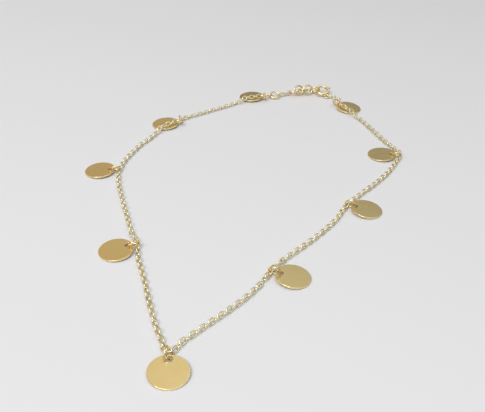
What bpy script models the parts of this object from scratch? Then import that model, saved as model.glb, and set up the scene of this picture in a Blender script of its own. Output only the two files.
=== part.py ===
"""Anklet: a fine cable chain with nine round discs, an extension of jump rings and a spring-ring clasp.

Sizes and places are in millimetres and in plan. Meshes and curves are made in metres, measured from the
model's origin. The anklet lies on the plane z = 0.
"""

from collections import namedtuple
from math import asin, atan2, cos, pi, radians, sin, sqrt

import bmesh
import bpy
from mathutils import Matrix, Vector

MM = 0.001

# Plan position that becomes the model's origin
PLAN_CENTRE = Vector((1.111, 124.053, 0.0))

# Points nearer than this are one point when a wire becomes a mesh, and edges sharper than this stay crisp
WELD = 0.002
CRISP_EDGE = 25.0

# Discs
DISC_RADIUS = 3.25
DISC_THICKNESS = 0.32
DISC_SIDES = 40
DISC_EDGE_BEVEL = 0.05
HOLE_RADIUS = 0.6
HOLE_SIDES = 16
HOLE_FROM_CENTRE = 2.375

# Sides of a round wire: thin wires, the chain's tubes, and the clasp's tube
WIRE_SIDES = 6
TUBE_SIDES = 8
BORE_SIDES = 10
CLASP_SIDES = 12

# Jump rings that carry the discs
RING_RADIUS = 1.12
RING_WIRE = 0.19
RING_SIDES = 18

# Links of the chain, an oval with round ends
LINK_WIRE = 0.135
LINK_HALF_LENGTH = 0.6735
LINK_HALF_WIDTH = 0.465
LINK_END_SIDES = 5
LINK_YIELD = 0.6
LINK_PITCH = 2 * (LINK_HALF_LENGTH - LINK_WIRE)

# Tubes that stand for the links between the discs
CHAIN_RADIUS = 0.5
CHAIN_HEIGHT = 0.5
CHAIN_STEP = 2.9
CHAIN_FEWEST_STEPS = 3
CHAIN_END_GAP = 0.14
CHAIN_OVER_DISC = 1.02
CHAIN_RAMP = (4.3, 6.6)
CHAIN_BLEND = 2.5
CURVE_STEPS = 24
HEADING_SPAN = 0.4

# Jump rings and small links of the extension
EXTENSION_RADIUS = 1.275
EXTENSION_WIRE = 0.225
EXTENSION_SIDES = 20
SMALL_LINKS = 4
SMALL_LINK_HANG = 0.235

# Spring-ring clasp: angles are in degrees round the ring, counted from its eye
CLASP_CENTRE = Vector((21.0, 178.2, 1.28))
CLASP_TILT = 20.0
CLASP_HEADING = -63.0
CLASP_RADIUS = 1.6
CLASP_TUBE = 0.44
CLASP_SEGMENT = 11.25
CLASP_GAP = (125.0, 170.0)
BORE_RADIUS = 0.31
BORE_DEPTH = 112.5
BORE_SEGMENTS = 11
SOCKET_SEGMENTS = 2
BOLT_RADIUS = 0.23
BOLT_SPAN = (64.0, 174.5)
BOLT_TRAVEL = 50.0
LEVER_ANGLE = 92.0
LEVER_RADIUS = 0.13
LEVER_PAD = 0.26
PAD_SIDES = 10
LEVER_REACH = 2.38
SLOT_RADIUS = 1.98
SLOT_HALF_WIDTH = 0.26
SLOT_MARGIN = 8.0
SLOT_SEGMENTS = 6
EYE_FROM_CENTRE = 2.55
EYE_RADIUS = 0.60
EYE_WIRE = 0.17
EYE_SIDES = 14

# Where on its ring a station's chain link hangs, in degrees from the side away from the disc
ON_RIM = -44.0
ON_LOW_RIM = -35.0
ON_TOP = 150.0

# A station is a disc with its ring and its link, in order round the loop from the extension.
# heading points from the disc's centre to its hole, hole_z is the hole's height, lean is the ring's slope,
# negative where its top leans to the right of the heading.
Station = namedtuple("Station", "x y heading hole_z lean hangs")
STATIONS = [
    Station(1.2, 173.9, -20.0, 0.64, -45.0, ON_TOP),
    Station(-20.2, 154.8, 8.0, 0.64, -45.0, ON_TOP),
    Station(-31.75, 130.1, 8.0, 0.64, -45.0, ON_LOW_RIM),
    Station(-23.0, 100.9, 33.0, 0.68, -45.0, ON_LOW_RIM),
    Station(-9.9, 71.3, 95.0, 0.68, 65.0, ON_RIM),
    Station(9.5, 95.2, 167.0, 0.66, 65.0, ON_RIM),
    Station(25.6, 118.5, 165.0, 0.64, 65.0, ON_RIM),
    Station(32.4, 143.0, -4.0, 0.64, -45.0, ON_LOW_RIM),
    Station(27.4, 169.1, 150.0, 0.64, 45.0, ON_TOP),
]

# Plan points of the chain's route between each station and the next, chosen by hand
ROUTE = [
    [(-1.6, 169.9), (-5.1, 167.0), (-8.8, 163.9), (-12.4, 161.0), (-15.8, 158.2)],
    [(-20.6, 151.4), (-22.5, 147.2), (-25.1, 141.3), (-26.9, 135.2)],
    [(-27.0, 126.4), (-24.9, 118.7), (-22.3, 110.7), (-20.5, 105.2)],
    [(-18.6, 99.0), (-16.4, 92.0), (-14.5, 85.4), (-12.4, 79.4)],
    [(-8.6, 77.6), (-5.3, 81.4), (-1.7, 85.4), (2.3, 90.4)],
    [(8.3, 100.3), (13.9, 107.0), (18.8, 113.9)],
    [(24.5, 123.5), (29.4, 129.7), (33.1, 135.2), (35.2, 139.4)],
    [(35.3, 147.2), (33.7, 151.2), (31.6, 157.0), (29.3, 162.6)],
]
ROUTE_FROM_EXTENSION = [(5.1, 173.55)]
ROUTE_TO_CLASP = [(25.1, 173.4), (24.1, 175.5)]

# Rings of the extension from the chain to the clasp: turn is the heading of the ring's level diameter,
# and lean its slope about that diameter
Loop = namedtuple("Loop", "x y z turn lean")
EXTENSION = [
    Loop(7.7, 174.78, 0.72, 28.0, 22.0),
    Loop(12.95, 177.29, 0.80, 19.2, -24.7),
    Loop(14.35, 177.53, 1.33, 29.2, 60.2),
    Loop(15.60, 177.74, 1.38, -0.4, -30.4),
    Loop(16.91, 177.96, 1.35, 21.8, 61.9),
    Loop(18.86, 178.31, 1.31, -0.2, -50.2),
]


def flat(heading, length=1.0):
    return Vector((cos(radians(heading)), sin(radians(heading)), 0.0)) * length


def framed(origin, along, across):
    """A placing whose X runs along, and whose Y is the part of across that is square to it."""
    x = along.normalized()
    y = (across - across.dot(x) * x).normalized()
    return Matrix.Translation(origin) @ Matrix((x, y, x.cross(y))).transposed().to_4x4()


def placed(matrix):
    """A plan placing in millimetres, as a placing in metres from the model's origin."""
    where = (matrix.to_translation() - PLAN_CENTRE) * MM
    return Matrix.Translation(where) @ matrix.to_3x3().to_4x4()


def smooth(value):
    share = min(max(value, 0.0), 1.0)
    return share * share * (3.0 - 2.0 * share)


# Scene

def collection(name):
    made = bpy.data.collections.new(name)
    bpy.context.scene.collection.children.link(made)
    return made


def gold(name, colour, roughness):
    material = bpy.data.materials.new(name)
    material.use_nodes = True
    shader = material.node_tree.nodes["Principled BSDF"]
    shader.inputs["Base Color"].default_value = (*colour, 1.0)
    shader.inputs["Metallic"].default_value = 1.0
    shader.inputs["Roughness"].default_value = roughness
    return material


def add(name, data, matrix, material, group):
    if data.materials:
        data.materials[0] = material
    else:
        data.materials.append(material)
    made = bpy.data.objects.new(name, data)
    made.matrix_world = matrix
    group.objects.link(made)
    return made


def wire(name, points, radius, sides, closed):
    """Curve data of a round wire along points in millimetres, with an even number of sides."""
    curve = bpy.data.curves.new(name, "CURVE")
    curve.dimensions = "3D"
    curve.bevel_depth = radius * MM
    curve.bevel_resolution = (sides - 4) // 2
    curve.use_fill_caps = not closed
    spline = curve.splines.new("POLY")
    spline.points.add(len(points) - 1)
    for knot, point in zip(spline.points, points):
        knot.co = (*(Vector(point) * MM), 1.0)
    spline.use_cyclic_u = closed
    return curve


def arc(radius, start, end, steps):
    return [flat(start + (end - start) * i / steps, radius) for i in range(steps + 1)]


def as_mesh(curve, group):
    """An object's welded mesh, made from curve data so that a Boolean can read it."""
    source = bpy.data.objects.new(curve.name, curve)
    group.objects.link(source)
    graph = bpy.context.evaluated_depsgraph_get()
    mesh = bpy.data.meshes.new_from_object(source.evaluated_get(graph))
    bpy.data.objects.remove(source)
    weld = bmesh.new()
    weld.from_mesh(mesh)
    bmesh.ops.remove_doubles(weld, verts=weld.verts, dist=WELD * MM)
    bmesh.ops.recalc_face_normals(weld, faces=weld.faces)
    weld.to_mesh(mesh)
    weld.free()
    return mesh


def cutter(name, mesh, matrix, group):
    made = bpy.data.objects.new(name, mesh)
    made.matrix_world = matrix
    made.hide_render = True
    made.display_type = "WIRE"
    group.objects.link(made)
    return made


def boolean(target, other, operation):
    step = target.modifiers.new(other.name, "BOOLEAN")
    step.operation = operation
    step.solver = "EXACT"
    step.object = other


def cylinder(name, radius, length, sides):
    mesh = bpy.data.meshes.new(name)
    build = bmesh.new()
    radii = {"radius1": radius * MM, "radius2": radius * MM}
    bmesh.ops.create_cone(build, cap_ends=True, segments=sides, depth=length * MM, **radii)
    build.to_mesh(mesh)
    build.free()
    return mesh


# Stations

Solved = namedtuple("Solved", "disc ring link wire_direction")


def solve(row):
    """Where a station's disc, ring and link lie: the ring stands in the hole, its foot on the surface."""
    out = flat(row.heading)
    side = flat(row.heading + 90.0)
    slope = radians(abs(row.lean))
    rise = side * cos(slope) * (1 if row.lean > 0 else -1) + Vector((0, 0, sin(slope)))
    level = RING_WIRE + RING_RADIUS * sin(slope)
    up = (row.hole_z - level) / (RING_RADIUS * sin(slope))
    towards_disc = -sqrt(1.0 - up * up)
    hole = Vector((row.x, row.y, row.hole_z)) + out * HOLE_FROM_CENTRE
    centre = hole - RING_RADIUS * (towards_disc * out + up * rise)
    turn = radians(row.hangs)
    link = centre + RING_RADIUS * (cos(turn) * out + sin(turn) * rise)
    wire_direction = cos(turn) * rise - sin(turn) * out

    half = DISC_THICKNESS / 2
    tilt = asin((row.hole_z - half) / (DISC_RADIUS + HOLE_FROM_CENTRE))
    middle = Vector((row.x, row.y, half * cos(tilt) + DISC_RADIUS * sin(tilt)))
    disc = framed(middle, out * cos(tilt) + Vector((0, 0, sin(tilt))), side)
    return Solved(disc, framed(centre, out, rise), link, wire_direction)


# Route of the chain

def through(knots):
    """Centripetal Catmull-Rom curve through the knots: its points, and the index of each knot in them."""
    ends = [2 * knots[0] - knots[1]] + knots + [2 * knots[-1] - knots[-2]]
    points, marks = [], []
    for a, b, c, d in zip(ends, ends[1:], ends[2:], ends[3:]):
        t1 = sqrt((b - a).length)
        t2 = t1 + sqrt((c - b).length)
        t3 = t2 + sqrt((d - c).length)
        marks.append(len(points))
        for i in range(CURVE_STEPS):
            t = t1 + (t2 - t1) * i / CURVE_STEPS
            ab = a * (t1 - t) / t1 + b * t / t1
            bc = b * (t2 - t) / (t2 - t1) + c * (t - t1) / (t2 - t1)
            cd = c * (t3 - t) / (t3 - t2) + d * (t - t2) / (t3 - t2)
            abc = ab * (t2 - t) / t2 + bc * t / t2
            bcd = bc * (t3 - t) / (t3 - t1) + cd * (t - t1) / (t3 - t1)
            points.append(abc * (t2 - t) / (t2 - t1) + bcd * (t - t1) / (t2 - t1))
    marks.append(len(points))
    return points + [knots[-1]], marks


def running_length(points):
    lengths = [0.0]
    for a, b in zip(points, points[1:]):
        lengths.append(lengths[-1] + (b - a).length)
    return lengths


def resting_height(point):
    """Height of the chain's middle: on the surface, or over a disc that it crosses."""
    over = 0.0
    for row in STATIONS:
        if row.hangs == ON_TOP:
            distance = (Vector((row.x, row.y)) - point.xy).length
            over = max(over, smooth((CHAIN_RAMP[1] - distance) / (CHAIN_RAMP[1] - CHAIN_RAMP[0])))
    return CHAIN_HEIGHT + CHAIN_OVER_DISC * over


def chain_route(stations, start, end):
    """The whole chain's middle line with its running length, and the length at each of its fixed points."""
    knots, fixed = [start], [0]
    legs = [ROUTE_FROM_EXTENSION] + ROUTE + [ROUTE_TO_CLASP]
    for leg, stop in zip(legs, [station.link for station in stations] + [end]):
        knots += [Vector((x, y, CHAIN_HEIGHT)) for x, y in leg] + [stop]
        fixed.append(len(knots) - 1)
    level = [Vector((knot.x, knot.y, 0.0)) for knot in knots]
    points, marks = through(level)
    lengths = running_length(points)
    held = [(lengths[marks[i]], knots[i].z - resting_height(knots[i])) for i in fixed]
    for point, length in zip(points, lengths):
        near = [(smooth(1.0 - abs(length - where) / CHAIN_BLEND), rise) for where, rise in held]
        point.z = resting_height(point) + sum(share * rise for share, rise in near)
    lengths = running_length(points)
    return points, lengths, [lengths[marks[i]] for i in fixed]


def point_at(route, length):
    points, lengths, _ = route
    index = next(i for i, reached in enumerate(lengths) if reached >= length or i == len(lengths) - 1)
    index = max(index, 1)
    share = (length - lengths[index - 1]) / (lengths[index] - lengths[index - 1])
    return points[index - 1].lerp(points[index], share)


def heading_at(route, length):
    return (point_at(route, length + HEADING_SPAN) - point_at(route, length - HEADING_SPAN)).normalized()


# Pieces

def make_disc_mesh(group, cutters):
    """One disc with its hole, lying flat with the hole on +X, made once for all nine."""
    blank = bpy.data.objects.new("disc_blank", cylinder("disc", DISC_RADIUS, DISC_THICKNESS, DISC_SIDES))
    group.objects.link(blank)
    drill = cylinder("hole_drill", HOLE_RADIUS, 3 * DISC_THICKNESS, HOLE_SIDES)
    hole_matrix = Matrix.Translation((HOLE_FROM_CENTRE * MM, 0, 0))
    boolean(blank, cutter("hole_drill", drill, hole_matrix, cutters), "DIFFERENCE")
    bevel = blank.modifiers.new("rounded_edge", "BEVEL")
    bevel.width = DISC_EDGE_BEVEL * MM
    bevel.segments = 1
    bevel.limit_method = "ANGLE"
    graph = bpy.context.evaluated_depsgraph_get()
    mesh = bpy.data.meshes.new_from_object(blank.evaluated_get(graph))
    bpy.data.objects.remove(blank)
    mesh.shade_smooth()
    mesh.set_sharp_from_angle(angle=radians(CRISP_EDGE))
    return mesh


def link_outline():
    """Middle line of one link: two half circles joined by straight sides."""
    straight = LINK_HALF_LENGTH - LINK_HALF_WIDTH
    points = []
    for end, start in ((1, -90.0), (-1, 90.0)):
        for i in range(LINK_END_SIDES + 1):
            turn = start + 180.0 * i / LINK_END_SIDES
            points.append(flat(turn, LINK_HALF_WIDTH) + Vector((end * straight, 0, 0)))
    return points


def ring_outline(radius, sides):
    return arc(radius, 0.0, 360.0, sides)[:-1]


def link_frame(origin, along, wire_direction):
    """A link carried by a wire: it turns part of the way from the chain's line to square with the wire."""
    lengthways = along - LINK_YIELD * along.dot(wire_direction) * wire_direction
    return framed(origin, lengthways, wire_direction.cross(lengthways))


def clasp_frame():
    """The clasp's middle, with X towards its eye and Z square to its ring."""
    turned = Matrix.Rotation(radians(CLASP_TILT), 4, "X") @ Matrix.Rotation(radians(CLASP_HEADING), 4, "Z")
    return Matrix.Translation(CLASP_CENTRE) @ turned


def make_clasp(group, cutters, ring_gold, bolt_gold):
    """The hollow ring with its mouth, lever slot and soldered eye, and the bolt that slides round in it."""
    matrix = placed(clasp_frame())
    mouth, far_mouth = CLASP_GAP
    turns = round((360.0 + mouth - far_mouth) / CLASP_SEGMENT)
    body_line = arc(CLASP_RADIUS, far_mouth, 360.0 + mouth, turns)
    body = wire("clasp_ring", body_line, CLASP_TUBE, CLASP_SIDES, False)
    ring = add("clasp_ring", as_mesh(body, group), matrix, ring_gold, group)

    bore_line = arc(CLASP_RADIUS, mouth + CLASP_SEGMENT, mouth - BORE_DEPTH, BORE_SEGMENTS)
    bore = wire("clasp_bore", bore_line, BORE_RADIUS, BORE_SIDES, False)
    socket_line = arc(CLASP_RADIUS, far_mouth - CLASP_SEGMENT, far_mouth + CLASP_SEGMENT, SOCKET_SEGMENTS)
    socket = wire("clasp_socket", socket_line, BORE_RADIUS, BORE_SIDES, False)
    slot_end = LEVER_ANGLE - BOLT_TRAVEL - SLOT_MARGIN
    slot_line = arc(SLOT_RADIUS, LEVER_ANGLE + SLOT_MARGIN, slot_end, SLOT_SEGMENTS)
    slot = wire("lever_slot", slot_line, SLOT_HALF_WIDTH, TUBE_SIDES, False)
    for cut in (bore, socket, slot):
        boolean(ring, cutter(cut.name, as_mesh(cut, group), matrix, cutters), "DIFFERENCE")
    eye = wire("clasp_eye", ring_outline(EYE_RADIUS, EYE_SIDES), EYE_WIRE, WIRE_SIDES, True)
    eye_matrix = matrix @ Matrix.Translation((EYE_FROM_CENTRE * MM, 0, 0))
    boolean(ring, cutter("clasp_eye", as_mesh(eye, group), eye_matrix, cutters), "UNION")

    bolt_steps = round((BOLT_SPAN[1] - BOLT_SPAN[0]) / CLASP_SEGMENT)
    rod = wire("clasp_bolt", arc(CLASP_RADIUS, *BOLT_SPAN, bolt_steps), BOLT_RADIUS, TUBE_SIDES, False)
    bolt = add("clasp_bolt", as_mesh(rod, group), matrix, bolt_gold, group)
    stem = [flat(LEVER_ANGLE, CLASP_RADIUS), flat(LEVER_ANGLE, LEVER_REACH)]
    lever = as_mesh(wire("lever_stem", stem, LEVER_RADIUS, TUBE_SIDES, False), group)
    boolean(bolt, cutter("lever_stem", lever, matrix, cutters), "UNION")
    pad = bpy.data.meshes.new("lever_pad")
    build = bmesh.new()
    bmesh.ops.create_uvsphere(build, u_segments=PAD_SIDES, v_segments=PAD_SIDES // 2, radius=LEVER_PAD * MM)
    build.to_mesh(pad)
    build.free()
    pad_matrix = matrix @ Matrix.Translation(flat(LEVER_ANGLE, LEVER_REACH) * MM)
    boolean(bolt, cutter("lever_pad", pad, pad_matrix, cutters), "UNION")


def loop_frame(loop):
    rise = flat(loop.turn + 90.0) * cos(radians(loop.lean)) + Vector((0, 0, sin(radians(loop.lean))))
    return framed(Vector((loop.x, loop.y, loop.z)), flat(loop.turn), rise)


def linked(start, end, count, hang):
    """Placings of a row of links between two rings, turning by equal shares from one wire to the other."""
    first = start @ Vector((EXTENSION_RADIUS, 0, 0))
    last = end @ Vector((-EXTENSION_RADIUS, 0, 0))
    along = (last - first).normalized()
    normal, final = (m.col[1].xyz - along * along.dot(m.col[1].xyz) for m in (start, end))
    turn = atan2(normal.cross(final).dot(along), normal.dot(final))
    step = (turn + pi * round((count - 1) / 2 - turn / pi)) / (count - 1)
    pitch = ((last - first).length - 2 * hang) / (count - 1)
    placings = []
    for i in range(count):
        face = Matrix.Rotation(step * i, 3, along) @ normal
        placings.append(framed(first + along * (hang + pitch * i), along, face.cross(along)))
    return placings


def main():
    for old in list(bpy.data.objects):
        bpy.data.objects.remove(old)
    anklet = collection("anklet")
    cutters = collection("cutters")
    disc_gold = gold("polished_disc_gold", (0.84, 0.66, 0.36), 0.25)
    ring_gold = gold("jump_ring_gold", (0.87, 0.70, 0.40), 0.15)
    chain_gold = gold("chain_gold", (0.86, 0.75, 0.48), 0.20)
    clasp_gold = gold("clasp_gold", (0.86, 0.71, 0.42), 0.16)
    bolt_gold = gold("bolt_gold", (0.82, 0.66, 0.38), 0.20)

    stations = [solve(row) for row in STATIONS]
    start = loop_frame(EXTENSION[0]) @ Vector((-EXTENSION_RADIUS, 0, 0))
    end = clasp_frame() @ Vector((EYE_FROM_CENTRE, 0, 0)) + Vector((EYE_RADIUS, 0, 0))
    route = chain_route(stations, start, end)
    stops = route[2]

    disc_mesh = make_disc_mesh(anklet, cutters)
    ring_data = wire("disc_ring", ring_outline(RING_RADIUS, RING_SIDES), RING_WIRE, WIRE_SIDES, True)
    link_data = wire("link", link_outline(), LINK_WIRE, WIRE_SIDES, True)
    for i, (station, stop) in enumerate(zip(stations, stops[1:]), 1):
        add(f"disc_{i}", disc_mesh, placed(station.disc), disc_gold, anklet)
        add(f"disc_ring_{i}", ring_data, placed(station.ring), ring_gold, anklet)
        matrix = link_frame(station.link, heading_at(route, stop), station.wire_direction)
        add(f"carrier_link_{i}", link_data, placed(matrix), chain_gold, anklet)

    clear_of_link = LINK_HALF_LENGTH + LINK_WIRE + CHAIN_END_GAP
    clear_of_ring = LINK_PITCH / 2
    for i, (a, b) in enumerate(zip(stops, stops[1:])):
        a += clear_of_link if i else clear_of_ring
        b -= clear_of_link if i < len(STATIONS) else clear_of_ring
        steps = max(CHAIN_FEWEST_STEPS, round((b - a) / CHAIN_STEP))
        points = [point_at(route, a + (b - a) * k / steps) - PLAN_CENTRE for k in range(steps + 1)]
        tube = wire("chain", points, CHAIN_RADIUS, TUBE_SIDES, False)
        add(f"chain_{i + 1}", tube, Matrix(), chain_gold, anklet)

    loop_line = ring_outline(EXTENSION_RADIUS, EXTENSION_SIDES)
    loop_data = wire("extension_ring", loop_line, EXTENSION_WIRE, WIRE_SIDES, True)
    for i, loop in enumerate(EXTENSION, 1):
        add(f"extension_ring_{i}", loop_data, placed(loop_frame(loop)), ring_gold, anklet)
    row = linked(loop_frame(EXTENSION[0]), loop_frame(EXTENSION[1]), SMALL_LINKS, SMALL_LINK_HANG)
    for i, matrix in enumerate(row, 1):
        add(f"extension_link_{i}", link_data, placed(matrix), chain_gold, anklet)
    make_clasp(anklet, cutters, clasp_gold, bolt_gold)


main()
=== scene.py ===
"""Looks of the disc anklet: its fine links, rings, discs and clasp in pale gold on a pale floor.

Sizes and places are in millimetres and in plan, as in the part. A mesh is made in metres, in its own frame.
"""

import random
from collections import namedtuple
from math import asin, atan2, ceil, cos, degrees, pi, radians, sin, sqrt

import bmesh
import bpy
import numpy as np
from mathutils import Matrix, Vector


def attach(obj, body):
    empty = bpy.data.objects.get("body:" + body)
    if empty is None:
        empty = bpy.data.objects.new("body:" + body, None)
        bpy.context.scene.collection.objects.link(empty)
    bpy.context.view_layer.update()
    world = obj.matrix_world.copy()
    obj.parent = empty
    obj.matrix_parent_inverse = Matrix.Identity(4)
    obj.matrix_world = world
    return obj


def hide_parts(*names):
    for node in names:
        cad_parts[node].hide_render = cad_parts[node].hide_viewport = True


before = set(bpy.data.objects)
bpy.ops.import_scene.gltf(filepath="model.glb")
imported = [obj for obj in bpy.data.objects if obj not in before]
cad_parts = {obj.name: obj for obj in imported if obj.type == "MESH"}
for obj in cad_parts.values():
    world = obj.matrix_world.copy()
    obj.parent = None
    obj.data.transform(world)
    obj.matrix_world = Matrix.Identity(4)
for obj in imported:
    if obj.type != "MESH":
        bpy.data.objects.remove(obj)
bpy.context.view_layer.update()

MM = 0.001

# Plan position that is the frame's origin
PLAN_CENTRE = Vector((1.111, 124.053, 0.0))

# Camera over the plan's origin, looking along +Y: angles in degrees, length of view in the picture's pixels
CAMERA_HEIGHT = 75.6
CAMERA_PITCH = 32.54
CAMERA_ROLL = 2.35
VIEW_LENGTH = 680.0
PICTURE_WIDTH = 485.0
SENSOR_WIDTH = 36.0
CAMERA_NEAR = 0.005

# Discs
DISC_RADIUS = 3.25
DISC_THICKNESS = 0.32
DISC_SIDES = 144
DISC_EDGE = 0.08
HOLE_RADIUS = 0.6
HOLE_SIDES = 40
HOLE_EDGE = 0.05
HOLE_FROM_CENTRE = 2.375
EDGE_STEPS = 4
EDGE_MARGIN = 0.03

# Jump rings that carry the discs, each with the fine cut it was opened at: where round it, and how wide
RING_RADIUS = 1.12
RING_WIRE = 0.19
RING_CUT = 1.6
RING_CUT_AT = 100.0
CUT_EDGE_SHARE = 1 / 6
RING_STEPS = 60
WIRE_SIDES = 14

# Links of the chain, an oval with round ends
LINK_WIRE = 0.135
LINK_HALF_LENGTH = 0.6735
LINK_HALF_WIDTH = 0.465
LINK_END_STEPS = 12
LINK_SIDE_STEPS = 2
LINK_SIDES = 10
LINK_YIELD = 0.6
LINK_PITCH = 1.066

# How the links lie: each leans by this angle, every other one the other way, and by chance a little more
LINK_LEAN = 45.0
LEAN_CHANCE = 7.0
YAW_CHANCE = 3.5
NOD_CHANCE = 2.0
SETTLING_LINKS = 6
CHANCE_SEED = 11

# Settling: each link that cuts into another wire, a disc or the surface is nudged until it only touches.
# It is left as it is once the squares of its depths add up to less than CALM, in square millimetres
TOUCH_GAP = 0.003
SETTLING_SWEEPS = 40
NUDGES = 30
NUDGE_MM = 0.03
NUDGE_TURN = 2.5
NUDGE_SIZES = (0.05, 1.6)
NEAR_END = 3
CALM = 1e-6

# Height of the chain's middle line, and how it climbs over a disc
CHAIN_HEIGHT = 0.47
CHAIN_OVER_DISC = 0.93
CHAIN_RAMP = (3.7, 6.0)
CHAIN_BLEND = 2.5
CURVE_STEPS = 24
HEADING_SPAN = 0.4

# Extension
EXTENSION_RADIUS = 1.275
EXTENSION_WIRE = 0.225
EXTENSION_CUT = 1.4
SMALL_LINKS = 4
SMALL_LINK_HANG = 0.235

# Spring-ring clasp: angles are in degrees round the ring, counted from its eye
CLASP_CENTRE = Vector((21.0, 178.2, 1.28))
CLASP_TILT = 20.0
CLASP_HEADING = -63.0
CLASP_RADIUS = 1.6
CLASP_TUBE = 0.44
CLASP_SIDES = 24
CLASP_STEP = 3.75
CLASP_GAP = (125.0, 170.0)
CLASP_END_EDGE = 0.06
BORE_RADIUS = 0.31
BORE_SIDES = 16
BORE_DEPTH = 112.5
SOCKET_DEPTH = 11.25
BOLT_RADIUS = 0.23
BOLT_SIDES = 16
BOLT_SPAN = (64.0, 174.5)
BOLT_TIP_EDGE = 0.138
BOLT_TRAVEL = 50.0
LEVER_ANGLE = 92.0
LEVER_RADIUS = 0.13
LEVER_SIDES = 12
LEVER_END_EDGE = 0.01
LEVER_PAD = 0.26
LEVER_REACH = 2.38
SLOT_RADIUS = 1.98
SLOT_HALF_WIDTH = 0.26
SLOT_SIDES = 12
SLOT_MARGIN = 8.0
BALL_SEGMENTS = (20, 12)
CRISP_EDGE = 40.0
EYE_FROM_CENTRE = 2.55
EYE_RADIUS = 0.60
EYE_WIRE = 0.17
EYE_STEPS = 36
SOLDER_RADIUS = 0.24
SOLDER_AT = 1.98

# Floor, lamp and sky
FLOOR_HALF = 8.0
FLOOR_COLOUR = (0.785, 0.80, 0.865)
FLOOR_ROUGHNESS = 0.55
LAMP_POWER = 1.9
LAMP_SIZE = 0.35
LAMP_PLACE = Vector((-0.22, -0.32, 0.52))

# Each side of the sky: its colour, the rises between which it brightens, and its brightness at both
Sky = namedtuple("Sky", "colour rise brightness")
LEFT_SKY = Sky((1.0, 0.86, 0.66), (0.2, 1.0), (0.355, 0.765))
RIGHT_SKY = Sky((0.97, 1.0, 0.98), (0.33, 1.0), (0.085, 1.25))
SKY_ACROSS = (-0.18, -0.02)

# Pale wall that the floor runs into, and the rise over which it gives way to the sky
WALL_COLOUR = (0.47, 0.47, 0.45)
WALL_RISE = (0.10, 0.18)

# Where on its ring a station's chain link hangs, in degrees from the side away from the disc
ON_RIM = -44.0
ON_LOW_RIM = -35.0
ON_TOP = 150.0

# A station is a disc with its ring and its link, in order round the loop from the extension
Station = namedtuple("Station", "x y heading hole_z lean hangs")
STATIONS = [
    Station(1.2, 173.9, -20.0, 0.64, -45.0, ON_TOP),
    Station(-20.2, 154.8, 8.0, 0.64, -45.0, ON_TOP),
    Station(-31.75, 130.1, 8.0, 0.64, -45.0, ON_LOW_RIM),
    Station(-23.0, 100.9, 33.0, 0.68, -45.0, ON_LOW_RIM),
    Station(-9.9, 71.3, 95.0, 0.68, 65.0, ON_RIM),
    Station(9.5, 95.2, 167.0, 0.66, 65.0, ON_RIM),
    Station(25.6, 118.5, 165.0, 0.64, 65.0, ON_RIM),
    Station(32.4, 143.0, -4.0, 0.64, -45.0, ON_LOW_RIM),
    Station(27.4, 169.1, 150.0, 0.64, 45.0, ON_TOP),
]

# Plan points of the chain's route between each station and the next, the part's own
ROUTE = [
    [(-1.6, 169.9), (-5.1, 167.0), (-8.8, 163.9), (-12.4, 161.0), (-15.8, 158.2)],
    [(-20.6, 151.4), (-22.5, 147.2), (-25.1, 141.3), (-26.9, 135.2)],
    [(-27.0, 126.4), (-24.9, 118.7), (-22.3, 110.7), (-20.5, 105.2)],
    [(-18.6, 99.0), (-16.4, 92.0), (-14.5, 85.4), (-12.4, 79.4)],
    [(-8.6, 77.6), (-5.3, 81.4), (-1.7, 85.4), (2.3, 90.4)],
    [(8.3, 100.3), (13.9, 107.0), (18.8, 113.9)],
    [(24.5, 123.5), (29.4, 129.7), (33.1, 135.2), (35.2, 139.4)],
    [(35.3, 147.2), (33.7, 151.2), (31.6, 157.0), (29.3, 162.6)],
]
ROUTE_FROM_EXTENSION = [(5.1, 173.55)]
ROUTE_TO_CLASP = [(25.1, 173.4), (24.1, 175.5)]

# Rings of the extension: turn is the heading of a ring's level diameter, and lean its slope about it
Loop = namedtuple("Loop", "x y z turn lean")
EXTENSION = [
    Loop(7.7, 174.78, 0.72, 28.0, 22.0),
    Loop(12.95, 177.29, 0.80, 19.2, -24.7),
    Loop(14.35, 177.53, 1.33, 29.2, 60.2),
    Loop(15.60, 177.74, 1.38, -0.4, -30.4),
    Loop(16.91, 177.96, 1.35, 21.8, 61.9),
    Loop(18.86, 178.31, 1.31, -0.2, -50.2),
]


# Placing

def flat(heading, length=1.0):
    return Vector((cos(radians(heading)), sin(radians(heading)), 0.0)) * length


def framed(origin, along, across):
    """A placing whose X runs along, and whose Y is the part of across that is square to it."""
    x = along.normalized()
    y = (across - across.dot(x) * x).normalized()
    return Matrix.Translation(origin) @ Matrix((x, y, x.cross(y))).transposed().to_4x4()


def placed(matrix):
    """A plan placing in millimetres, as a placing in metres in the frame."""
    where = (matrix.to_translation() - PLAN_CENTRE) * MM
    return Matrix.Translation(where) @ matrix.to_3x3().to_4x4()


def smooth(value):
    share = min(max(value, 0.0), 1.0)
    return share * share * (3.0 - 2.0 * share)


# Stations

Solved = namedtuple("Solved", "disc ring link wire_direction")


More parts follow.
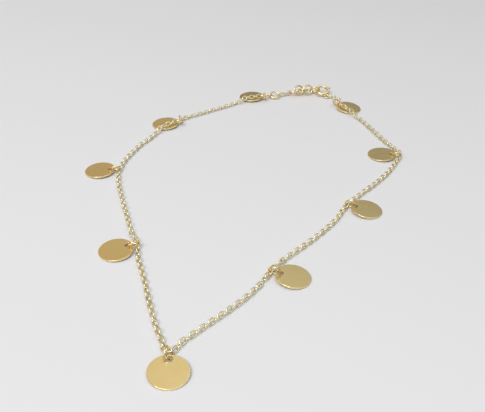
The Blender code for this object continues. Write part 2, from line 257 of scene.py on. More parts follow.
def solve(row):
    """Where a station's disc, ring and link lie: the ring stands in the hole, its foot on the surface."""
    out = flat(row.heading)
    side = flat(row.heading + 90.0)
    slope = radians(abs(row.lean))
    rise = side * cos(slope) * (1 if row.lean > 0 else -1) + Vector((0, 0, sin(slope)))
    level = RING_WIRE + RING_RADIUS * sin(slope)
    up = (row.hole_z - level) / (RING_RADIUS * sin(slope))
    towards_disc = -sqrt(1.0 - up * up)
    hole = Vector((row.x, row.y, row.hole_z)) + out * HOLE_FROM_CENTRE
    centre = hole - RING_RADIUS * (towards_disc * out + up * rise)
    turn = radians(row.hangs)
    link = centre + RING_RADIUS * (cos(turn) * out + sin(turn) * rise)
    wire_direction = cos(turn) * rise - sin(turn) * out

    half = DISC_THICKNESS / 2
    tilt = asin((row.hole_z - half) / (DISC_RADIUS + HOLE_FROM_CENTRE))
    middle = Vector((row.x, row.y, half * cos(tilt) + DISC_RADIUS * sin(tilt)))
    disc = framed(middle, out * cos(tilt) + Vector((0, 0, sin(tilt))), side)
    return Solved(disc, framed(centre, out, rise), link, wire_direction)


def loop_frame(loop):
    rise = flat(loop.turn + 90.0) * cos(radians(loop.lean)) + Vector((0, 0, sin(radians(loop.lean))))
    return framed(Vector((loop.x, loop.y, loop.z)), flat(loop.turn), rise)


def clasp_frame():
    """The clasp's middle, with X towards its eye and Z square to its ring."""
    turned = Matrix.Rotation(radians(CLASP_TILT), 4, "X") @ Matrix.Rotation(radians(CLASP_HEADING), 4, "Z")
    return Matrix.Translation(CLASP_CENTRE) @ turned


# Route of the chain

def through(knots):
    """Centripetal Catmull-Rom curve through the knots: its points, and the index of each knot in them."""
    ends = [2 * knots[0] - knots[1]] + knots + [2 * knots[-1] - knots[-2]]
    points, marks = [], []
    for a, b, c, d in zip(ends, ends[1:], ends[2:], ends[3:]):
        t1 = sqrt((b - a).length)
        t2 = t1 + sqrt((c - b).length)
        t3 = t2 + sqrt((d - c).length)
        marks.append(len(points))
        for i in range(CURVE_STEPS):
            t = t1 + (t2 - t1) * i / CURVE_STEPS
            ab = a * (t1 - t) / t1 + b * t / t1
            bc = b * (t2 - t) / (t2 - t1) + c * (t - t1) / (t2 - t1)
            cd = c * (t3 - t) / (t3 - t2) + d * (t - t2) / (t3 - t2)
            abc = ab * (t2 - t) / t2 + bc * t / t2
            bcd = bc * (t3 - t) / (t3 - t1) + cd * (t - t1) / (t3 - t1)
            points.append(abc * (t2 - t) / (t2 - t1) + bcd * (t - t1) / (t2 - t1))
    marks.append(len(points))
    return points + [knots[-1]], marks


def running_length(points):
    lengths = [0.0]
    for a, b in zip(points, points[1:]):
        lengths.append(lengths[-1] + (b - a).length)
    return lengths


def resting_height(point):
    """Height of the chain's middle: on the surface, or over a disc that it crosses."""
    over = 0.0
    for row in STATIONS:
        if row.hangs == ON_TOP:
            distance = (Vector((row.x, row.y)) - point.xy).length
            over = max(over, smooth((CHAIN_RAMP[1] - distance) / (CHAIN_RAMP[1] - CHAIN_RAMP[0])))
    return CHAIN_HEIGHT + CHAIN_OVER_DISC * over


def chain_route(stations, start, end):
    """The whole chain's middle line with its running length, and the length at each of its fixed points."""
    knots, fixed = [start], [0]
    legs = [ROUTE_FROM_EXTENSION] + ROUTE + [ROUTE_TO_CLASP]
    for leg, stop in zip(legs, [station.link for station in stations] + [end]):
        knots += [Vector((x, y, CHAIN_HEIGHT)) for x, y in leg] + [stop]
        fixed.append(len(knots) - 1)
    level = [Vector((knot.x, knot.y, 0.0)) for knot in knots]
    points, marks = through(level)
    lengths = running_length(points)
    held = [(lengths[marks[i]], knots[i].z - resting_height(knots[i])) for i in fixed]
    for point, length in zip(points, lengths):
        near = [(smooth(1.0 - abs(length - where) / CHAIN_BLEND), rise) for where, rise in held]
        point.z = resting_height(point) + sum(share * rise for share, rise in near)
    lengths = running_length(points)
    return points, lengths, [lengths[marks[i]] for i in fixed]


def point_at(route, length):
    points, lengths, _ = route
    index = next(i for i, reached in enumerate(lengths) if reached >= length or i == len(lengths) - 1)
    index = max(index, 1)
    share = (length - lengths[index - 1]) / (lengths[index] - lengths[index - 1])
    return points[index - 1].lerp(points[index], share)


def heading_at(route, length):
    return (point_at(route, length + HEADING_SPAN) - point_at(route, length - HEADING_SPAN)).normalized()


# Links

def link_frame(origin, along, wire_direction):
    """A link carried by a wire: it turns part of the way from the chain's line to square with the wire."""
    lengthways = along - LINK_YIELD * along.dot(wire_direction) * wire_direction
    return framed(origin, lengthways, wire_direction.cross(lengthways))


def side_and_up(along):
    side = Vector((0, 0, 1)).cross(along).normalized()
    return side, along.cross(side)


def lean_of(matrix):
    """Angle in degrees by which a link's width stands up from the level, about its own length."""
    side, up = side_and_up(matrix.col[0].xyz)
    width = matrix.col[1].xyz
    return degrees(atan2(width.dot(up), width.dot(side)))


def half_turn(angle):
    """The same lean between -90 and 90 degrees: an oval link looks the same after half a turn."""
    return (angle + 90.0) % 180.0 - 90.0


def lean_pattern(first, last, count):
    """Which way a row's links lean first, and how far off that the held links at its ends are."""
    choices = []
    for way in (1, -1):
        off_first = half_turn(lean_of(first) - way * LINK_LEAN)
        off_last = half_turn(lean_of(last) - way * LINK_LEAN - 90.0 * count)
        choices.append((max(abs(off_first), abs(off_last)), way, off_first, off_last))
    return min(choices)[1:]


def link_row(route, start, stop, first, last, chance):
    """Placings of the links from one held link to the next, both left out.

    Links alternate between leaning left and right. The held links lean as their rings make them, so the
    links beside them settle into the pattern over a few links.
    """
    count = ceil((stop - start) / LINK_PITCH)
    pitch = (stop - start) / count
    way, off_first, off_last = lean_pattern(first, last, count)
    settling = min(SETTLING_LINKS, count / 2)
    placings = []
    for k in range(1, count):
        where = point_at(route, start + pitch * k)
        along = heading_at(route, start + pitch * k)
        near_first = smooth(1.0 - k / settling)
        near_last = smooth(1.0 - (count - k) / settling)
        loose = 1.0 - max(near_first, near_last)
        lean = way * LINK_LEAN + 90.0 * k + off_first * near_first + off_last * near_last
        lean += loose * chance.uniform(-LEAN_CHANCE, LEAN_CHANCE)
        side, up = side_and_up(along)
        yaw = radians(loose * chance.uniform(-YAW_CHANCE, YAW_CHANCE))
        nod = radians(loose * chance.uniform(-NOD_CHANCE, NOD_CHANCE))
        along = along + side * yaw + up * nod
        width = side * cos(radians(lean)) + up * sin(radians(lean))
        resting = LINK_HALF_WIDTH * abs(sin(radians(lean))) + LINK_WIRE
        level = LINK_HALF_WIDTH * sin(radians(LINK_LEAN)) + LINK_WIRE
        where = where + Vector((0, 0, loose * (resting - level)))
        placings.append(framed(where, along, width))
    return placings


def linked(start, end, count, hang):
    """Placings of a row of links between two rings, turning by equal shares from one wire to the other."""
    first = start @ Vector((EXTENSION_RADIUS, 0, 0))
    last = end @ Vector((-EXTENSION_RADIUS, 0, 0))
    along = (last - first).normalized()
    normal, final = (m.col[1].xyz - along * along.dot(m.col[1].xyz) for m in (start, end))
    turn = atan2(normal.cross(final).dot(along), normal.dot(final))
    step = (turn + pi * round((count - 1) / 2 - turn / pi)) / (count - 1)
    pitch = ((last - first).length - 2 * hang) / (count - 1)
    placings = []
    for i in range(count):
        face = Matrix.Rotation(step * i, 3, along) @ normal
        placings.append(framed(first + along * (hang + pitch * i), along, face.cross(along)))
    return placings


# Meshes

def arc(radius, start, end, steps):
    return [flat(start + (end - start) * i / steps, radius) for i in range(steps + 1)]


def round_line(radius, steps):
    return arc(radius, 0.0, 360.0, steps)[:-1]


def link_outline():
    """Middle line of one link: two half circles joined by straight sides."""
    straight = LINK_HALF_LENGTH - LINK_HALF_WIDTH
    points = []
    for end, start in ((1, -90.0), (-1, 90.0)):
        for i in range(LINK_END_STEPS + 1):
            turn = start + 180.0 * i / LINK_END_STEPS
            points.append(flat(turn, LINK_HALF_WIDTH) + Vector((end * straight, 0, 0)))
        for i in range(1, LINK_SIDE_STEPS):
            along = end * straight * (1 - 2 * i / LINK_SIDE_STEPS)
            points.append(Vector((along, end * LINK_HALF_WIDTH, 0)))
    return points


def wire_rings(points, radius, closed, edge):
    """Centres, tangents and radii of the rings of a wire in the XY plane; open ends are rounded by edge."""
    count = len(points)
    rings = []
    for i, point in enumerate(points):
        before = points[i - 1] if closed or i else point
        after = points[(i + 1) % count] if closed or i < count - 1 else point
        rings.append((point, (after - before).normalized(), radius))
    if closed:
        return rings
    for end, way in ((0, -1), (-1, 1)):
        point, tangent, _ = rings[end]
        rounded = []
        for i in range(1, EDGE_STEPS + 1):
            turn = radians(90.0 * i / EDGE_STEPS)
            ahead = tangent * way * edge * sin(turn)
            rounded.append((point + ahead, tangent, radius - edge * (1 - cos(turn))))
        rings = rings + rounded if way > 0 else rounded[::-1] + rings
    return rings


def wire_mesh(points, radius, sides, closed, edge=0.0):
    """Vertices in millimetres and faces of a round wire whose middle line lies in the XY plane."""
    verts, faces = [], []
    rings = wire_rings(points, radius, closed, edge)
    for point, tangent, size in rings:
        side = Vector((0, 0, 1)).cross(tangent)
        for j in range(sides):
            turn = 2 * pi * j / sides
            verts.append(point + size * (cos(turn) * side + sin(turn) * Vector((0, 0, 1))))
    count = len(rings)
    for i in range(count if closed else count - 1):
        for j in range(sides):
            a, b = i * sides + j, i * sides + (j + 1) % sides
            c, d = (i + 1) % count * sides + (j + 1) % sides, (i + 1) % count * sides + j
            faces.append((a, b, c, d))
    if not closed:
        faces.append(tuple(range(sides))[::-1])
        faces.append(tuple((count - 1) * sides + j for j in range(sides)))
    return verts, faces


def as_mesh(name, verts, faces):
    mesh = bpy.data.meshes.new(name)
    mesh.from_pydata([tuple(Vector(v) * MM) for v in verts], [], faces)
    tidy = bmesh.new()
    tidy.from_mesh(mesh)
    bmesh.ops.recalc_face_normals(tidy, faces=tidy.faces)
    tidy.to_mesh(mesh)
    tidy.free()
    mesh.shade_smooth()
    return mesh


def repeated(name, verts, faces, placings):
    """One mesh of many copies of the same shape, made from arrays and placed in the frame."""
    base = np.array([tuple(v) + (1.0,) for v in verts])
    shape = np.array(faces)
    points = np.concatenate([(base @ np.array(m).T)[:, :3] for m in placings])
    points = (points - np.array(PLAN_CENTRE)) * MM
    quads = np.concatenate([shape + i * len(base) for i in range(len(placings))])
    mesh = bpy.data.meshes.new(name)
    mesh.from_pydata(points.tolist(), [], quads.tolist())
    mesh.shade_smooth()
    return mesh


def ring_of(tidy, centre, radius, height, sides):
    return [tidy.verts.new((centre + flat(360.0 * i / sides, radius) + Vector((0, 0, height))) * MM)
            for i in range(sides)]


def rounded_wall(radius, edge, inward):
    """Radii and heights of a disc's wall from its upper face to its lower one, both edges rounded."""
    half = DISC_THICKNESS / 2
    profile = [(radius - inward * (edge + EDGE_MARGIN), half)]
    for i in range(EDGE_STEPS + 1):
        turn = radians(90.0 * i / EDGE_STEPS)
        profile.append((radius - inward * edge * (1 - sin(turn)), half - edge * (1 - cos(turn))))
    return profile + [(size, -height) for size, height in profile[::-1]]


def disc_mesh():
    """A disc lying flat with its hole on +X: burnished walls with rounded edges, and two satin faces."""
    tidy = bmesh.new()
    walls = []
    for centre, radius, edge, inward, sides in (
        (Vector(), DISC_RADIUS, DISC_EDGE, 1, DISC_SIDES),
        (Vector((HOLE_FROM_CENTRE, 0, 0)), HOLE_RADIUS, HOLE_EDGE, -1, HOLE_SIDES),
    ):
        loops = [ring_of(tidy, centre, r, h, sides) for r, h in rounded_wall(radius, edge, inward)]
        for upper, lower in zip(loops, loops[1:]):
            for i in range(sides):
                j = (i + 1) % sides
                tidy.faces.new((upper[i], upper[j], lower[j], lower[i])).material_index = 1
        walls.append(loops)
    for level in (0, -1):
        rims = [loops[level] for loops in walls]
        edges = [tidy.edges.get((rim[i - 1], rim[i])) for rim in rims for i in range(len(rim))]
        bmesh.ops.triangle_fill(tidy, use_beauty=True, use_dissolve=False, edges=edges)
    bmesh.ops.recalc_face_normals(tidy, faces=tidy.faces)
    mesh = bpy.data.meshes.new("disc")
    tidy.to_mesh(mesh)
    tidy.free()
    mesh.shade_smooth()
    return mesh


# Settling of the links

Wire = namedtuple("Wire", "points radius")


def wire_at(matrix, line, radius):
    """A wire as points along its middle line in plan, for measuring gaps."""
    points = np.array([tuple(point) + (1.0,) for point in line])
    return Wire((points @ np.array(matrix).T)[:, :3], radius)


def sunk(link, others, discs):
    """How deep a link cuts into other wires, discs and the surface, as a sum of squares."""
    depths = [LINK_WIRE - link.points[:, 2].min()]
    for other in others:
        apart = np.sqrt(((link.points[:, None] - other.points[None]) ** 2).sum(axis=2)).min()
        depths.append(link.radius + other.radius + TOUCH_GAP - apart)
    for to_disc in discs:
        local = link.points @ to_disc[:3, :3].T + to_disc[:3, 3]
        over = (np.hypot(local[:, 0], local[:, 1]) < DISC_RADIUS) & (local[:, 2] > 0)
        if over.any():
            depths.append(DISC_THICKNESS / 2 + LINK_WIRE + TOUCH_GAP - local[over, 2].min())
    return sum(depth * depth for depth in depths if depth > 0)


def nudged(matrix, size, chance):
    shift = Vector([chance.gauss(0.0, NUDGE_MM * size) for _ in range(3)])
    turn = Matrix.Identity(4)
    for axis in "XYZ":
        turn = turn @ Matrix.Rotation(radians(chance.gauss(0.0, NUDGE_TURN * size)), 4, axis)
    return Matrix.Translation(shift) @ matrix @ turn


def settle(placings, at_start, at_end, discs, chance):
    """The placings of a row of links after each has been nudged clear of its neighbours."""
    line = link_outline()
    placings = list(placings)
    links = [wire_at(matrix, line, LINK_WIRE) for matrix in placings]
    for _ in range(SETTLING_SWEEPS):
        calm = True
        for i in range(len(links)):
            others = [links[j] for j in (i - 1, i + 1) if 0 <= j < len(links)]
            others += at_start if i < NEAR_END else []
            others += at_end if i >= len(links) - NEAR_END else []
            least = sunk(links[i], others, discs)
            if least < CALM:
                continue
            calm = False
            for _ in range(NUDGES):
                matrix = nudged(placings[i], chance.uniform(*NUDGE_SIZES), chance)
                moved = wire_at(matrix, line, LINK_WIRE)
                worse = sunk(moved, others, discs)
                if worse < least:
                    least, placings[i], links[i] = worse, matrix, moved
        if calm:
            break
    return placings


# Finishes

# Detail of each noise, and the part of its range over which a tone or a haze changes
TONE_DETAIL = 3.0
TONE_RANGE = (0.3, 0.7)
HAZE_DETAIL = 4.0
HAZE_RANGE = (0.32, 0.68)
LINES_DETAIL = 2.0
DENTS_DETAIL = 1.0


def noise(nodes, links, vector, detail):
    texture = nodes.new("ShaderNodeTexNoise")
    texture.inputs["Detail"].default_value = detail
    links.new(vector, texture.inputs["Vector"])
    return texture


def spread_over(nodes, links, value, limits):
    """A node that gives nought at the lower limit of a value and one at the upper."""
    node = nodes.new("ShaderNodeMapRange")
    node.inputs["From Min"].default_value, node.inputs["From Max"].default_value = limits
    links.new(value, node.inputs["Value"])
    return node


def mixed(nodes, links, share, first, second):
    """The first colour where the share is nought and the second where it is one."""
    node = nodes.new("ShaderNodeMix")
    node.data_type = "RGBA"
    links.new(share, node.inputs["Factor"])
    links.new(first, node.inputs["A"])
    links.new(second, node.inputs["B"])
    return node.outputs["Result"]


def new_group(name, inputs, outputs):
    """An empty node group: name, type and default of each input, name and type of each output."""
    group = bpy.data.node_groups.new(name, "ShaderNodeTree")
    for label, kind, value in inputs:
        socket = group.interface.new_socket(name=label, in_out="INPUT", socket_type=kind)
        if value is not None:
            socket.default_value = value
    for label, kind in outputs:
        group.interface.new_socket(name=label, in_out="OUTPUT", socket_type=kind)
    entry = group.nodes.new("NodeGroupInput")
    leave = group.nodes.new("NodeGroupOutput")
    return group, entry, leave


def alloy_tone_group():
    """Slow drift between a paler and a deeper gold, as plating varies over a surface."""
    group, entry, leave = new_group(
        "alloy_tone",
        [("Place", "NodeSocketVector", None), ("Patches", "NodeSocketFloat", 200.0),
         ("Pale", "NodeSocketColor", None), ("Deep", "NodeSocketColor", None)],
        [("Colour", "NodeSocketColor")])
    nodes, links = group.nodes, group.links
    texture = noise(nodes, links, entry.outputs["Place"], TONE_DETAIL)
    links.new(entry.outputs["Patches"], texture.inputs["Scale"])
    spread = spread_over(nodes, links, texture.outputs["Fac"], TONE_RANGE)
    tone = mixed(nodes, links, spread.outputs["Result"], entry.outputs["Pale"], entry.outputs["Deep"])
    links.new(tone, leave.inputs["Colour"])
    return group


def handling_haze_group():
    """Roughness that wanders between a bright and a hazed polish, as fingers leave it."""
    group, entry, leave = new_group(
        "handling_haze",
        [("Place", "NodeSocketVector", None), ("Smears", "NodeSocketFloat", 600.0),
         ("Bright", "NodeSocketFloat", 0.1), ("Hazed", "NodeSocketFloat", 0.3)],
        [("Roughness", "NodeSocketFloat")])
    nodes, links = group.nodes, group.links
    texture = noise(nodes, links, entry.outputs["Place"], HAZE_DETAIL)
    links.new(entry.outputs["Smears"], texture.inputs["Scale"])
    spread = spread_over(nodes, links, texture.outputs["Fac"], HAZE_RANGE)
    links.new(entry.outputs["Bright"], spread.inputs["To Min"])
    links.new(entry.outputs["Hazed"], spread.inputs["To Max"])
    links.new(spread.outputs["Result"], leave.inputs["Roughness"])
    return group


def polishing_lines_group():
    """Height of fine lines left by polishing, drawn out along the surface's own X."""
    group, entry, leave = new_group(
        "polishing_lines",
        [("Place", "NodeSocketVector", None), ("Lines", "NodeSocketFloat", 15000.0),
         ("Run", "NodeSocketFloat", 0.06)],
        [("Height", "NodeSocketFloat")])
    nodes, links = group.nodes, group.links
    parts = nodes.new("ShaderNodeSeparateXYZ")
    links.new(entry.outputs["Place"], parts.inputs["Vector"])
    drawn = nodes.new("ShaderNodeMath")
    drawn.operation = "MULTIPLY"
    links.new(parts.outputs["X"], drawn.inputs[0])
    links.new(entry.outputs["Run"], drawn.inputs[1])
    joined = nodes.new("ShaderNodeCombineXYZ")
    links.new(drawn.outputs["Value"], joined.inputs["X"])
    links.new(parts.outputs["Y"], joined.inputs["Y"])
    links.new(parts.outputs["Z"], joined.inputs["Z"])
    texture = noise(nodes, links, joined.outputs["Vector"], LINES_DETAIL)
    links.new(entry.outputs["Lines"], texture.inputs["Scale"])
    links.new(texture.outputs["Fac"], leave.inputs["Height"])
    return group


GROUPS = {
    "alloy_tone": alloy_tone_group(),
    "handling_haze": handling_haze_group(),
    "polishing_lines": polishing_lines_group(),
}


def use_group(nodes, links, name, place, values):
    node = nodes.new("ShaderNodeGroup")
    node.node_tree = GROUPS[name]
    links.new(place, node.inputs["Place"])
    for label, value in values.items():
        node.inputs[label].default_value = value
    return node.outputs[0]


# A finish: two colours and their patches, two roughnesses and their smears, polishing lines, their run and
# depth, and dents and their depth; counts are to the metre, and depths are in millimetres
Finish = namedtuple("Finish", "pale deep patches bright hazed smears lines run line_depth dents dent_depth")


def gold(name, finish):
    """A polished gold: drifting tone, hazed polish, fine lines, and the soft unevenness of worked metal."""
    material = bpy.data.materials.new(name)
    material.use_nodes = True
    nodes, links = material.node_tree.nodes, material.node_tree.links
    shader = nodes["Principled BSDF"]
    shader.inputs["Metallic"].default_value = 1.0
    place = nodes.new("ShaderNodeTexCoord").outputs["Object"]
    tone = use_group(nodes, links, "alloy_tone", place,
                     {"Patches": finish.patches, "Pale": (*finish.pale, 1.0), "Deep": (*finish.deep, 1.0)})
    links.new(tone, shader.inputs["Base Color"])
    haze = use_group(nodes, links, "handling_haze", place,
                     {"Smears": finish.smears, "Bright": finish.bright, "Hazed": finish.hazed})
    links.new(haze, shader.inputs["Roughness"])
    lines = use_group(nodes, links, "polishing_lines", place, {"Lines": finish.lines, "Run": finish.run})
    worked = nodes.new("ShaderNodeBump")
    worked.inputs["Distance"].default_value = finish.dent_depth * MM
    dents = noise(nodes, links, place, DENTS_DETAIL)
    dents.inputs["Scale"].default_value = finish.dents
    links.new(dents.outputs["Fac"], worked.inputs["Height"])
    drawn = nodes.new("ShaderNodeBump")
    drawn.inputs["Distance"].default_value = finish.line_depth * MM
    links.new(lines, drawn.inputs["Height"])
    links.new(worked.outputs["Normal"], drawn.inputs["Normal"])
    links.new(drawn.outputs["Normal"], shader.inputs["Normal"])
    return material


DISC_FACE = gold("satin_disc_face", Finish(
    (0.88, 0.70, 0.35), (0.85, 0.66, 0.31), 200.0, 0.26, 0.34, 500.0, 14000.0, 0.05, 0.0008, 420.0, 0.012))
DISC_RIM = gold("burnished_disc_rim", Finish(
    (0.94, 0.78, 0.46), (0.90, 0.71, 0.37), 500.0, 0.12, 0.22, 1500.0, 9000.0, 1.0, 0.001, 700.0, 0.01))
RING_WIRE_GOLD = gold("bright_ring_wire", Finish(
    (0.92, 0.76, 0.43), (0.87, 0.68, 0.33), 700.0, 0.10, 0.20, 2000.0, 8000.0, 1.0, 0.001, 900.0, 0.012))
# The links' gold is paler and whiter than the discs', rings' and clasp's gold: painted reflection of the
# white floor and surroundings, since the real chain is the same gold as the discs
LINK_GOLD = gold("link_wire_with_painted_pale_sheen", Finish(
    (0.95, 0.885, 0.67), (0.90, 0.81, 0.55), 420.0, 0.20, 0.32, 1800.0, 7000.0, 1.0, 0.0006, 1300.0, 0.012))
CASE_GOLD = gold("polished_clasp_case", Finish(
    (0.91, 0.77, 0.46), (0.85, 0.69, 0.36), 600.0, 0.10, 0.20, 1500.0, 9000.0, 1.0, 0.001, 500.0, 0.012))
TRIGGER_GOLD = gold("worn_clasp_trigger", Finish(
    (0.88, 0.71, 0.43), (0.81, 0.63, 0.34), 800.0, 0.16, 0.28, 2200.0, 9000.0, 1.0, 0.0015, 900.0, 0.012))


# Pieces

def piece(name, mesh, matrix, materials, node, body="root", keeps_axes=False):
    """Shows a mesh in place of a node of the part; a disc keeps its own axes, for its fine lines."""
    mesh = mesh.copy()
    for material in materials:
        mesh.materials.append(material)
    made = bpy.data.objects.new(name, mesh)
    if keeps_axes:
        made.matrix_world = matrix
    else:
        mesh.transform(matrix)
    bpy.context.scene.collection.objects.link(made)
    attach(made, body)
    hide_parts(node)


def cut_ring(radius, wire, cut):
    """A jump ring with the fine cut it was opened and closed at, on its level diameter's upper side."""
    line = arc(radius, RING_CUT_AT + cut / 2, RING_CUT_AT + 360.0 - cut / 2, RING_STEPS)
    return wire_mesh(line, wire, WIRE_SIDES, False, wire * CUT_EDGE_SHARE)


def boolean(target, other, operation):
    step = target.modifiers.new(other.name, "BOOLEAN")
    step.operation = operation
    step.solver = "EXACT"
    step.object = other


def combined(name, base, others):
    """A mesh joined with or cut by others, each a name, a mesh, a placing and an operation."""
    target = bpy.data.objects.new(name, base)
    bpy.context.scene.collection.objects.link(target)
    tools = []
    for label, mesh, matrix, operation in others:
        tool = bpy.data.objects.new(label, mesh)
        tool.matrix_world = matrix
        bpy.context.scene.collection.objects.link(tool)
        boolean(target, tool, operation)
        tools.append(tool)
    graph = bpy.context.evaluated_depsgraph_get()
    mesh = bpy.data.meshes.new_from_object(target.evaluated_get(graph))
    for used in [target] + tools:
        bpy.data.objects.remove(used)
    mesh.shade_smooth()
    mesh.set_sharp_from_angle(angle=radians(CRISP_EDGE))
    return mesh


def round_bar(name, start, end, radius, ring_radius, sides, edge):
    """A bar bent round the clasp between two angles, its rounded ends within them."""
    trim = degrees(edge / ring_radius) * (1 if end > start else -1)
    steps = max(2, round(abs(end - start) / CLASP_STEP))
    line = arc(ring_radius, start + trim, end - trim, steps)
    return as_mesh(name, *wire_mesh(line, radius, sides, False, edge))


def ball(name, radius):
    mesh = bpy.data.meshes.new(name)
    tidy = bmesh.new()
    around, rows = BALL_SEGMENTS
    bmesh.ops.create_uvsphere(tidy, u_segments=around, v_segments=rows, radius=radius * MM)
    tidy.to_mesh(mesh)
    tidy.free()
    return mesh


def case_mesh():
    """The hollow case with its mouth, lever slot, socket for the bolt's tip, and soldered eye."""
    mouth, far_mouth = CLASP_GAP
    still = Matrix.Identity(4)
    body_end = 360.0 + mouth
    body = round_bar("case", far_mouth, body_end, CLASP_TUBE, CLASP_RADIUS, CLASP_SIDES, CLASP_END_EDGE)
    bore_start, bore_end = mouth + SOCKET_DEPTH, mouth - BORE_DEPTH
    bore = round_bar("bore", bore_start, bore_end, BORE_RADIUS, CLASP_RADIUS, BORE_SIDES, 0.0)
    socket_start, socket_end = far_mouth - SOCKET_DEPTH, far_mouth + SOCKET_DEPTH
    socket = round_bar("socket", socket_start, socket_end, BORE_RADIUS, CLASP_RADIUS, BORE_SIDES, 0.0)
    slot_start, slot_end = LEVER_ANGLE + SLOT_MARGIN, LEVER_ANGLE - BOLT_TRAVEL - SLOT_MARGIN
    slot = round_bar("slot", slot_start, slot_end, SLOT_HALF_WIDTH, SLOT_RADIUS, SLOT_SIDES, 0.0)
    eye = as_mesh("eye", *wire_mesh(round_line(EYE_RADIUS, EYE_STEPS), EYE_WIRE, WIRE_SIDES, True))
    return combined("case", body, [
        ("bore", bore, still, "DIFFERENCE"),
        ("socket", socket, still, "DIFFERENCE"),
        ("slot", slot, still, "DIFFERENCE"),
        ("eye", eye, Matrix.Translation((EYE_FROM_CENTRE * MM, 0, 0)), "UNION"),
        ("solder", ball("solder", SOLDER_RADIUS), Matrix.Translation((SOLDER_AT * MM, 0, 0)), "UNION"),
    ])


def trigger_mesh():
    """The bolt with its rounded tips, and the stem and pad of its lever."""
    rod = round_bar("rod", *BOLT_SPAN, BOLT_RADIUS, CLASP_RADIUS, BOLT_SIDES, BOLT_TIP_EDGE)
    stem_line = [flat(LEVER_ANGLE, CLASP_RADIUS), flat(LEVER_ANGLE, LEVER_REACH)]
    stem = as_mesh("stem", *wire_mesh(stem_line, LEVER_RADIUS, LEVER_SIDES, False, LEVER_END_EDGE))
    pad_place = Matrix.Translation(flat(LEVER_ANGLE, LEVER_REACH) * MM)
    return combined("trigger", rod, [
        ("stem", stem, Matrix.Identity(4), "UNION"),
        ("pad", ball("pad", LEVER_PAD), pad_place, "UNION"),
    ])


def add_stations(stations, held, link):
    """The discs, their rings and the links that hang on them."""
    disc = disc_mesh()
    ring = as_mesh("ring", *cut_ring(RING_RADIUS, RING_WIRE, RING_CUT))
    for i, (station, matrix) in enumerate(zip(stations, held), 1):
        piece(f"charm_disc_{i}", disc, placed(station.disc), (DISC_FACE, DISC_RIM),
              f"disc_{i}", keeps_axes=True)
        piece(f"charm_ring_{i}", ring, placed(station.ring), (RING_WIRE_GOLD,),
              f"disc_ring_{i}")
        piece(f"charm_link_{i}", link, placed(matrix), (LINK_GOLD,), f"carrier_link_{i}")


def end_links(route, loops, clasp):
    """The chain's link on the extension and its link on the clasp's eye, each after its place along."""
    first_at = LINK_HALF_LENGTH - LINK_WIRE - EXTENSION_WIRE
    last_at = route[2][-1] - (LINK_HALF_LENGTH - LINK_WIRE - EYE_WIRE)
    first = link_frame(point_at(route, first_at), heading_at(route, first_at), loops[0].col[1].xyz)
    eye_direction = clasp.col[2].xyz.cross(Vector((1, 0, 0))).normalized()
    last = link_frame(point_at(route, last_at), heading_at(route, last_at), eye_direction)
    return first_at, first, last_at, last


def still_wires(stations, held, loops, clasp):
    """The wires that stand still, in a list for each place where rows meet or end."""
    link_line = link_outline()
    places = [[wire_at(loops[0], round_line(EXTENSION_RADIUS, RING_STEPS), EXTENSION_WIRE)]]
    for station, matrix in zip(stations, held):
        places.append([wire_at(matrix, link_line, LINK_WIRE),
                       wire_at(station.ring, round_line(RING_RADIUS, RING_STEPS), RING_WIRE)])
    eye = clasp @ Matrix.Translation((EYE_FROM_CENTRE, 0, 0))
    places.append([wire_at(eye, round_line(EYE_RADIUS, EYE_STEPS), EYE_WIRE)])
    return places


def add_chain(route, stations, held, loops, clasp, link_shape):
    """The rows of links between the stations, hooked through one another."""
    first_at, first, last_at, last = end_links(route, loops, clasp)
    marks = [first_at] + route[2][1:-1] + [last_at]
    ends = [first] + held + [last]
    wires = still_wires(stations, held, loops, clasp)
    crossed = [station for station, row in zip(stations, STATIONS) if row.hangs == ON_TOP]
    discs = [np.array(station.disc.inverted()) for station in crossed]
    chance = random.Random(CHANCE_SEED)
    for i, (a, b) in enumerate(zip(marks, marks[1:])):
        row = link_row(route, a, b, ends[i], ends[i + 1], chance)
        if i == 0:
            row.insert(0, first)
        if i == len(STATIONS):
            row.append(last)
        row = settle(row, wires[i], wires[i + 1], discs, chance)
        mesh = repeated(f"link_row_{i + 1}", *link_shape, row)
        piece(f"link_row_{i + 1}", mesh, Matrix(), (LINK_GOLD,), f"chain_{i + 1}")


def add_extension(loops, link):
    loop = as_mesh("loop", *cut_ring(EXTENSION_RADIUS, EXTENSION_WIRE, EXTENSION_CUT))
    for i, matrix in enumerate(loops, 1):
        piece(f"extension_loop_{i}", loop, placed(matrix), (RING_WIRE_GOLD,),
              f"extension_ring_{i}")
    for i, matrix in enumerate(linked(loops[0], loops[1], SMALL_LINKS, SMALL_LINK_HANG), 1):
        piece(f"extension_oval_{i}", link, placed(matrix), (LINK_GOLD,),
              f"extension_link_{i}")


def add_clasp(clasp):
    case, trigger = case_mesh(), trigger_mesh()
    piece("clasp_case", case, placed(clasp), (CASE_GOLD,), "clasp_ring")
    piece("clasp_trigger", trigger, placed(clasp), (TRIGGER_GOLD,), "clasp_bolt", "bolt")


def add_anklet():
    stations = [solve(row) for row in STATIONS]
    loops = [loop_frame(loop) for loop in EXTENSION]
    clasp = clasp_frame()
    start = loops[0] @ Vector((-EXTENSION_RADIUS, 0, 0))
    end = clasp @ Vector((EYE_FROM_CENTRE, 0, 0)) + Vector((EYE_RADIUS, 0, 0))
    route = chain_route(stations, start, end)
    held = [link_frame(station.link, heading_at(route, stop), station.wire_direction)
            for station, stop in zip(stations, route[2][1:])]
    link_shape = wire_mesh(link_outline(), LINK_WIRE, LINK_SIDES, True)
    link = as_mesh("link", *link_shape)
    add_stations(stations, held, link)
    add_chain(route, stations, held, loops, clasp, link_shape)
    add_extension(loops, link)
    add_clasp(clasp)


# Floor, light and camera

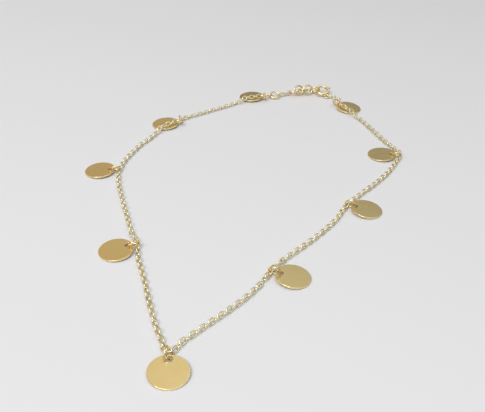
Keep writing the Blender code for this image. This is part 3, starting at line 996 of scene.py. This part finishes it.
def add_floor():
    mesh = bpy.data.meshes.new("floor")
    size = FLOOR_HALF
    corners = [(-size, -size, 0), (size, -size, 0), (size, size, 0), (-size, size, 0)]
    mesh.from_pydata(corners, [], [(0, 1, 2, 3)])
    floor = bpy.data.objects.new("floor", mesh)
    bpy.context.scene.collection.objects.link(floor)
    material = bpy.data.materials.new("pale_floor")
    material.use_nodes = True
    nodes, links = material.node_tree.nodes, material.node_tree.links
    shader = nodes["Principled BSDF"]
    shader.inputs["Roughness"].default_value = FLOOR_ROUGHNESS
    shader.inputs["Base Color"].default_value = (*FLOOR_COLOUR, 1.0)
    mesh.materials.append(material)


def ranged(nodes, links, value, source, target):
    """A value carried from one range to another."""
    node = spread_over(nodes, links, value, source)
    node.inputs["To Min"].default_value, node.inputs["To Max"].default_value = target
    return node.outputs["Result"]


def side_of_sky(nodes, links, height, sky):
    """Colour of one side of the sky, brighter with height."""
    shaded = nodes.new("ShaderNodeVectorMath")
    shaded.operation = "SCALE"
    shaded.inputs["Vector"].default_value = sky.colour
    links.new(ranged(nodes, links, height, sky.rise, sky.brightness), shaded.inputs["Scale"])
    return shaded.outputs["Vector"]


def add_light():
    """A soft studio: a pale wall all round, a sky brighter overhead and warmer on the left, one lamp."""
    bpy.context.scene.view_settings.view_transform = "Standard"
    world = bpy.data.worlds.new("studio")
    bpy.context.scene.world = world
    world.use_nodes = True
    nodes, links = world.node_tree.nodes, world.node_tree.links
    background = nodes["Background"]
    parts = nodes.new("ShaderNodeSeparateXYZ")
    links.new(nodes.new("ShaderNodeTexCoord").outputs["Generated"], parts.inputs["Vector"])
    across, height = parts.outputs["X"], parts.outputs["Z"]
    left = side_of_sky(nodes, links, height, LEFT_SKY)
    right = side_of_sky(nodes, links, height, RIGHT_SKY)
    sky = mixed(nodes, links, ranged(nodes, links, across, SKY_ACROSS, (0.0, 1.0)), left, right)
    wall = nodes.new("ShaderNodeRGB").outputs["Color"]
    wall.default_value = (*WALL_COLOUR, 1.0)
    room = mixed(nodes, links, ranged(nodes, links, height, WALL_RISE, (0.0, 1.0)), wall, sky)
    links.new(room, background.inputs["Color"])

    data = bpy.data.lights.new("soft_lamp", "AREA")
    data.shape = "SQUARE"
    data.size = LAMP_SIZE
    data.energy = LAMP_POWER
    lamp = bpy.data.objects.new("soft_lamp", data)
    lamp.location = LAMP_PLACE
    lamp.rotation_euler = (-LAMP_PLACE).to_track_quat("-Z", "Y").to_euler()
    bpy.context.scene.collection.objects.link(lamp)


def add_camera():
    data = bpy.data.cameras.new("camera")
    data.sensor_width = SENSOR_WIDTH
    data.lens = VIEW_LENGTH / PICTURE_WIDTH * SENSOR_WIDTH
    data.clip_start = CAMERA_NEAR
    camera = bpy.data.objects.new("camera", data)
    pitch, roll = radians(CAMERA_PITCH), radians(CAMERA_ROLL)
    right, up = Vector((1, 0, 0)), Vector((0, sin(pitch), cos(pitch)))
    across = cos(roll) * right + sin(roll) * up
    upright = cos(roll) * up - sin(roll) * right
    turned = Matrix((across, upright, across.cross(upright))).transposed().to_4x4()
    where = (Vector((0, 0, CAMERA_HEIGHT)) - PLAN_CENTRE) * MM
    camera.matrix_world = Matrix.Translation(where) @ turned
    bpy.context.scene.collection.objects.link(camera)
    bpy.context.scene.camera = camera


add_camera()
add_floor()
add_light()
add_anklet()
